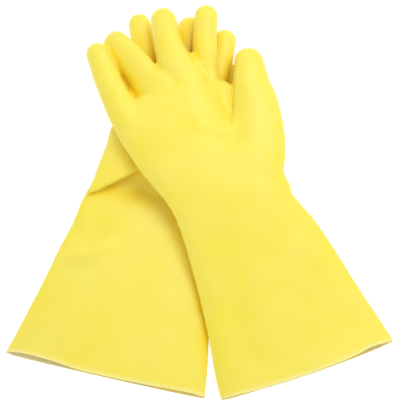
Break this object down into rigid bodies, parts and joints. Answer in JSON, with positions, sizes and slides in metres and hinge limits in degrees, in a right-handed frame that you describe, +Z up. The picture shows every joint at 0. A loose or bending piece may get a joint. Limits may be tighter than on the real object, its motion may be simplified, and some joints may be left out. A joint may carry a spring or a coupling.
{
  "type": "pair of rubber gloves",
  "caption": "Long-cuffed household rubber gloves, a left and a right, flock lined, laid palm up one across the other.",
  "frame": {"origin": "middle of the pair's footprint, on the surface they lie on", "axes": "+Z up, away from the surface; +Y towards the fingertips; the right glove's cuff is at +X and the left glove's at -X"},
  "size_m": [0.3196, 0.3451, 0.041],
  "materials": {
    "latex": "smooth satin natural-rubber latex, yellow",
    "flock": "short cotton flock, off-white"
  },
  "bodies": {
    "left_hand": {"left_hand": "latex", "left_hand_lining": "flock"},
    "left_gauntlet": {"left_gauntlet": "latex", "left_gauntlet_lining": "flock"},
    "left_thumb_stall": {"left_thumb_stall": "latex", "left_thumb_lining": "flock"},
    "left_index_stall": {"left_index_stall": "latex", "left_index_lining": "flock"},
    "left_middle_stall": {"left_middle_stall": "latex", "left_middle_lining": "flock"},
    "left_ring_stall": {"left_ring_stall": "latex", "left_ring_lining": "flock"},
    "left_little_stall": {"left_little_stall": "latex", "left_little_lining": "flock"},
    "right_hand": {"right_hand": "latex", "right_hand_lining": "flock"},
    "right_gauntlet": {"right_gauntlet": "latex", "right_gauntlet_lining": "flock"},
    "right_thumb_stall": {"right_thumb_stall": "latex", "right_thumb_lining": "flock"},
    "right_index_stall": {"right_index_stall": "latex", "right_index_lining": "flock"},
    "right_middle_stall": {"right_middle_stall": "latex", "right_middle_lining": "flock"},
    "right_ring_stall": {"right_ring_stall": "latex", "right_ring_lining": "flock"},
    "right_little_stall": {"right_little_stall": "latex", "right_little_lining": "flock"}
  },
  "joints": [
    {"name": "right_glove_lift", "type": "slide", "parent": "left_hand", "child": "right_hand", "axis": [0, 0, 1], "range_m": [0, 0.16]},
    {"name": "right_wrist_bend", "type": "hinge", "parent": "right_hand", "child": "right_gauntlet", "pos_m": [0.02481, -0.00724, 0.04], "axis": [-0.9336, -0.3584, 0], "range_deg": [0, 50], "stiffness_Nm_per_rad": 0.06},
    {"name": "right_thumb_bend", "type": "hinge", "parent": "right_hand", "child": "right_thumb_stall", "pos_m": [0.0434, 0.09201, 0.0405], "axis": [0.9804, 0.1971, 0], "range_deg": [0, 60], "stiffness_Nm_per_rad": 0.01},
    {"name": "right_index_bend", "type": "hinge", "parent": "right_hand", "child": "right_index_stall", "pos_m": [0.00336, 0.12484, 0.0405], "axis": [0.9984, 0.0561, 0], "range_deg": [0, 80], "stiffness_Nm_per_rad": 0.01},
    {"name": "right_middle_bend", "type": "hinge", "parent": "right_hand", "child": "right_middle_stall", "pos_m": [-0.02503, 0.12573, 0.0405], "axis": [0.9543, 0.2987, 0], "range_deg": [0, 80], "stiffness_Nm_per_rad": 0.01},
    {"name": "right_ring_bend", "type": "hinge", "parent": "right_hand", "child": "right_ring_stall", "pos_m": [-0.05524, 0.11092, 0.0405], "axis": [0.8563, 0.5165, 0], "range_deg": [0, 80], "stiffness_Nm_per_rad": 0.01},
    {"name": "right_little_bend", "type": "hinge", "parent": "right_hand", "child": "right_little_stall", "pos_m": [-0.0737, 0.08777, 0.0405], "axis": [0.8908, 0.4545, 0], "range_deg": [0, 80], "stiffness_Nm_per_rad": 0.01},
    {"name": "left_wrist_bend", "type": "hinge", "parent": "left_hand", "child": "left_gauntlet", "pos_m": [-0.04352, -0.01093, 0.0184], "axis": [-0.9744, 0.225, 0], "range_deg": [0, 50]},
    {"name": "left_thumb_bend", "type": "hinge", "parent": "left_hand", "child": "left_thumb_stall", "pos_m": [-0.07244, 0.07785, 0.0189], "axis": [0.9937, -0.112, 0], "range_deg": [0, 60]},
    {"name": "left_index_bend", "type": "hinge", "parent": "left_hand", "child": "left_index_stall", "pos_m": [-0.0473, 0.12438, 0.0189], "axis": [0.9833, 0.1822, 0], "range_deg": [0, 80]},
    {"name": "left_middle_bend", "type": "hinge", "parent": "left_hand", "child": "left_middle_stall", "pos_m": [-0.01267, 0.12768, 0.0189], "axis": [0.9866, -0.163, 0], "range_deg": [0, 80]},
    {"name": "left_ring_bend", "type": "hinge", "parent": "left_hand", "child": "left_ring_stall", "pos_m": [0.01317, 0.11863, 0.0189], "axis": [0.9703, -0.242, 0], "range_deg": [0, 80]},
    {"name": "left_little_bend", "type": "hinge", "parent": "left_hand", "child": "left_little_stall", "pos_m": [0.0341, 0.09841, 0.0189], "axis": [0.9791, -0.2035, 0], "range_deg": [0, 80]}
  ],
  "couplings": [
    {"joint": "left_wrist_bend", "follows": "right_glove_lift", "rad_per_m": 5},
    {"joint": "left_thumb_bend", "follows": "right_glove_lift", "rad_per_m": 6},
    {"joint": "left_index_bend", "follows": "right_glove_lift", "rad_per_m": 8.5},
    {"joint": "left_middle_bend", "follows": "right_glove_lift", "rad_per_m": 8.5},
    {"joint": "left_ring_bend", "follows": "right_glove_lift", "rad_per_m": 8.5},
    {"joint": "left_little_bend", "follows": "right_glove_lift", "rad_per_m": 8.5}
  ]
}
